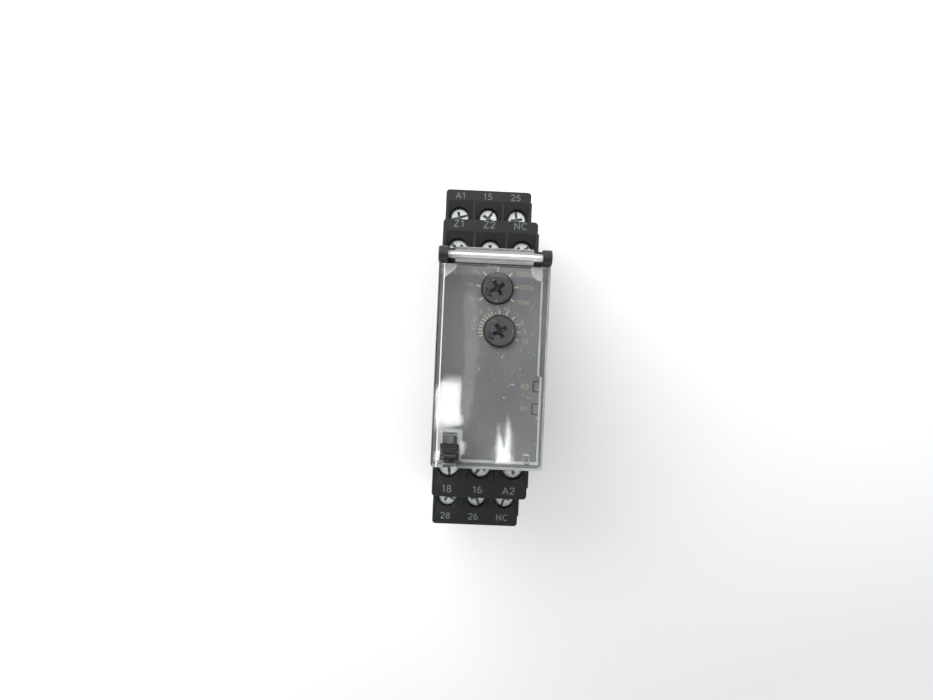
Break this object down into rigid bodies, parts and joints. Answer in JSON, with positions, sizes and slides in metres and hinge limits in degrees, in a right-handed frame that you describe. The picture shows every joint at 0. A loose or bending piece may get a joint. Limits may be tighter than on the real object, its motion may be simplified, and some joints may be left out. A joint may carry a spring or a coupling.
{
  "type": "din rail timer",
  "caption": "Modular electronic timer for a 35 mm rail, with stepped screw terminals, two dials, indicator windows and a clear hinged front cover with a slide latch.",
  "frame": {"origin": "middle of the back plane: the middle of the 35 mm rail, at the depth of the back of the case", "axes": "+Z out of the front, +Y towards the hinge and the upper terminals, +X to the right across the width"},
  "size_m": [0.0228, 0.0874, 0.0994],
  "materials": {
    "case_plastic": "fine moulded texture, black",
    "panel_plastic": "satin dark grey",
    "clear_cover": "clear polished polycarbonate",
    "latch_plastic": "semi-gloss black",
    "knob_plastic": "satin dark grey",
    "switch_plastic": "black",
    "potentiometer_plastic": "blue",
    "circuit_board": "green solder mask",
    "light_pipe": "clear, slightly grey",
    "led": "moulded lens",
    "relay_case": "ivory",
    "capacitor_sleeve": "dark sleeve",
    "film_capacitor": "yellow box",
    "ferrite": "dark ferrite with copper winding",
    "tinned_brass": "tinned",
    "zinc_screw": "bright zinc plate",
    "zinc_cage": "zinc plate",
    "foot_plastic": "black",
    "spring_steel": "spring wire"
  },
  "bodies": {
    "case": {"housing": "case_plastic", "side_cover": "case_plastic", "front_plate": "panel_plastic", "range_switch": "switch_plastic", "time_potentiometer": "potentiometer_plastic", "front_board": "circuit_board", "light_pipe_r1": "light_pipe", "light_pipe_r2": "light_pipe", "led_r1": "led", "led_r2": "led", "main_board": "circuit_board", "board_link": "switch_plastic", "relay_1": "relay_case", "relay_2": "relay_case", "supply_capacitor": "capacitor_sleeve", "film_capacitor": "film_capacitor", "choke": "ferrite", "controller": "switch_plastic", "contact_bars": "tinned_brass", "clip_spring": "spring_steel"},
    "cover": {"cover": "clear_cover"},
    "latch": {"cover_latch": "latch_plastic"},
    "range_dial": {"range_knob": "knob_plastic"},
    "time_dial": {"time_knob": "knob_plastic"},
    "rail_foot": {"din_clip": "foot_plastic"},
    "screw_a1": {"terminal_screw_a1": "zinc_screw"},
    "screw_15": {"terminal_screw_15": "zinc_screw"},
    "screw_25": {"terminal_screw_25": "zinc_screw"},
    "screw_z1": {"terminal_screw_z1": "zinc_screw"},
    "screw_z2": {"terminal_screw_z2": "zinc_screw"},
    "screw_nc_top": {"terminal_screw_nc_top": "zinc_screw"},
    "screw_18": {"terminal_screw_18": "zinc_screw"},
    "screw_16": {"terminal_screw_16": "zinc_screw"},
    "screw_a2": {"terminal_screw_a2": "zinc_screw"},
    "screw_28": {"terminal_screw_28": "zinc_screw"},
    "screw_26": {"terminal_screw_26": "zinc_screw"},
    "screw_nc_bottom": {"terminal_screw_nc_bottom": "zinc_screw"},
    "cage_a1": {"clamp_cage_a1": "zinc_cage"},
    "cage_15": {"clamp_cage_15": "zinc_cage"},
    "cage_25": {"clamp_cage_25": "zinc_cage"},
    "cage_z1": {"clamp_cage_z1": "zinc_cage"},
    "cage_z2": {"clamp_cage_z2": "zinc_cage"},
    "cage_nc_top": {"clamp_cage_nc_top": "zinc_cage"},
    "cage_18": {"clamp_cage_18": "zinc_cage"},
    "cage_16": {"clamp_cage_16": "zinc_cage"},
    "cage_a2": {"clamp_cage_a2": "zinc_cage"},
    "cage_28": {"clamp_cage_28": "zinc_cage"},
    "cage_26": {"clamp_cage_26": "zinc_cage"},
    "cage_nc_bottom": {"clamp_cage_nc_bottom": "zinc_cage"}
  },
  "joints": [
    {"name": "cover_hinge", "type": "hinge", "parent": "case", "child": "cover", "pos_m": [0, 0.02115, 0.0978], "axis": [-1, 0, 0], "range_deg": [0, 150]},
    {"name": "cover_latch_slide", "type": "slide", "parent": "cover", "child": "latch", "axis": [0, 1, 0], "range_m": [0, 0.0016]},
    {"name": "din_clip_slide", "type": "slide", "parent": "case", "child": "rail_foot", "axis": [0, -1, 0], "range_m": [0, 0.003], "stiffness_N_per_m": 1200, "springref_m": -0.003, "deforming": ["clip_spring"]},
    {"name": "range_knob_turn", "type": "hinge", "parent": "case", "child": "range_dial", "pos_m": [0.0009, 0.015, 0.0935], "axis": [0, 0, -1], "range_deg": [0, 240]},
    {"name": "time_knob_turn", "type": "hinge", "parent": "case", "child": "time_dial", "pos_m": [0.00175, 0.0062, 0.0935], "axis": [0, 0, -1], "range_deg": [0, 240]},
    {"name": "terminal_a1_turn", "type": "hinge", "parent": "case", "child": "screw_a1", "pos_m": [-0.0075, 0.0367, 0.0492], "axis": [0, 0, -1], "range_deg": [0, 2160]},
    {"name": "wire_clamp_a1_rise", "type": "slide", "parent": "case", "child": "cage_a1", "axis": [0, 0, 1], "range_m": [0, 0.003]},
    {"name": "terminal_15_turn", "type": "hinge", "parent": "case", "child": "screw_15", "pos_m": [0, 0.0367, 0.0492], "axis": [0, 0, -1], "range_deg": [0, 2160]},
    {"name": "wire_clamp_15_rise", "type": "slide", "parent": "case", "child": "cage_15", "axis": [0, 0, 1], "range_m": [0, 0.003]},
    {"name": "terminal_25_turn", "type": "hinge", "parent": "case", "child": "screw_25", "pos_m": [0.0075, 0.0367, 0.0492], "axis": [0, 0, -1], "range_deg": [0, 2160]},
    {"name": "wire_clamp_25_rise", "type": "slide", "parent": "case", "child": "cage_25", "axis": [0, 0, 1], "range_m": [0, 0.003]},
    {"name": "terminal_z1_turn", "type": "hinge", "parent": "case", "child": "screw_z1", "pos_m": [-0.0075, 0.0255, 0.07], "axis": [0, 0, -1], "range_deg": [0, 2160]},
    {"name": "wire_clamp_z1_rise", "type": "slide", "parent": "case", "child": "cage_z1", "axis": [0, 0, 1], "range_m": [0, 0.003]},
    {"name": "terminal_z2_turn", "type": "hinge", "parent": "case", "child": "screw_z2", "pos_m": [0, 0.0255, 0.07], "axis": [0, 0, -1], "range_deg": [0, 2160]},
    {"name": "wire_clamp_z2_rise", "type": "slide", "parent": "case", "child": "cage_z2", "axis": [0, 0, 1], "range_m": [0, 0.003]},
    {"name": "terminal_nc_top_turn", "type": "hinge", "parent": "case", "child": "screw_nc_top", "pos_m": [0.0075, 0.0255, 0.07], "axis": [0, 0, -1], "range_deg": [0, 2160]},
    {"name": "wire_clamp_nc_top_rise", "type": "slide", "parent": "case", "child": "cage_nc_top", "axis": [0, 0, 1], "range_m": [0, 0.003]},
    {"name": "terminal_18_turn", "type": "hinge", "parent": "case", "child": "screw_18", "pos_m": [-0.0075, -0.0255, 0.07], "axis": [0, 0, -1], "range_deg": [0, 2160]},
    {"name": "wire_clamp_18_rise", "type": "slide", "parent": "case", "child": "cage_18", "axis": [0, 0, 1], "range_m": [0, 0.003]},
    {"name": "terminal_16_turn", "type": "hinge", "parent": "case", "child": "screw_16", "pos_m": [0, -0.0255, 0.07], "axis": [0, 0, -1], "range_deg": [0, 2160]},
    {"name": "wire_clamp_16_rise", "type": "slide", "parent": "case", "child": "cage_16", "axis": [0, 0, 1], "range_m": [0, 0.003]},
    {"name": "terminal_a2_turn", "type": "hinge", "parent": "case", "child": "screw_a2", "pos_m": [0.0075, -0.0255, 0.07], "axis": [0, 0, -1], "range_deg": [0, 2160]},
    {"name": "wire_clamp_a2_rise", "type": "slide", "parent": "case", "child": "cage_a2", "axis": [0, 0, 1], "range_m": [0, 0.003]},
    {"name": "terminal_28_turn", "type": "hinge", "parent": "case", "child": "screw_28", "pos_m": [-0.0075, -0.0367, 0.0492], "axis": [0, 0, -1], "range_deg": [0, 2160]},
    {"name": "wire_clamp_28_rise", "type": "slide", "parent": "case", "child": "cage_28", "axis": [0, 0, 1], "range_m": [0, 0.003]},
    {"name": "terminal_26_turn", "type": "hinge", "parent": "case", "child": "screw_26", "pos_m": [0, -0.0367, 0.0492], "axis": [0, 0, -1], "range_deg": [0, 2160]},
    {"name": "wire_clamp_26_rise", "type": "slide", "parent": "case", "child": "cage_26", "axis": [0, 0, 1], "range_m": [0, 0.003]},
    {"name": "terminal_nc_bottom_turn", "type": "hinge", "parent": "case", "child": "screw_nc_bottom", "pos_m": [0.0075, -0.0367, 0.0492], "axis": [0, 0, -1], "range_deg": [0, 2160]},
    {"name": "wire_clamp_nc_bottom_rise", "type": "slide", "parent": "case", "child": "cage_nc_bottom", "axis": [0, 0, 1], "range_m": [0, 0.003]}
  ],
  "couplings": [
    {"joint": "terminal_a1_turn", "follows": "wire_clamp_a1_rise", "rad_per_m": 12566},
    {"joint": "terminal_15_turn", "follows": "wire_clamp_15_rise", "rad_per_m": 12566},
    {"joint": "terminal_25_turn", "follows": "wire_clamp_25_rise", "rad_per_m": 12566},
    {"joint": "terminal_z1_turn", "follows": "wire_clamp_z1_rise", "rad_per_m": 12566},
    {"joint": "terminal_z2_turn", "follows": "wire_clamp_z2_rise", "rad_per_m": 12566},
    {"joint": "terminal_nc_top_turn", "follows": "wire_clamp_nc_top_rise", "rad_per_m": 12566},
    {"joint": "terminal_18_turn", "follows": "wire_clamp_18_rise", "rad_per_m": 12566},
    {"joint": "terminal_16_turn", "follows": "wire_clamp_16_rise", "rad_per_m": 12566},
    {"joint": "terminal_a2_turn", "follows": "wire_clamp_a2_rise", "rad_per_m": 12566},
    {"joint": "terminal_28_turn", "follows": "wire_clamp_28_rise", "rad_per_m": 12566},
    {"joint": "terminal_26_turn", "follows": "wire_clamp_26_rise", "rad_per_m": 12566},
    {"joint": "terminal_nc_bottom_turn", "follows": "wire_clamp_nc_bottom_rise", "rad_per_m": 12566}
  ]
}
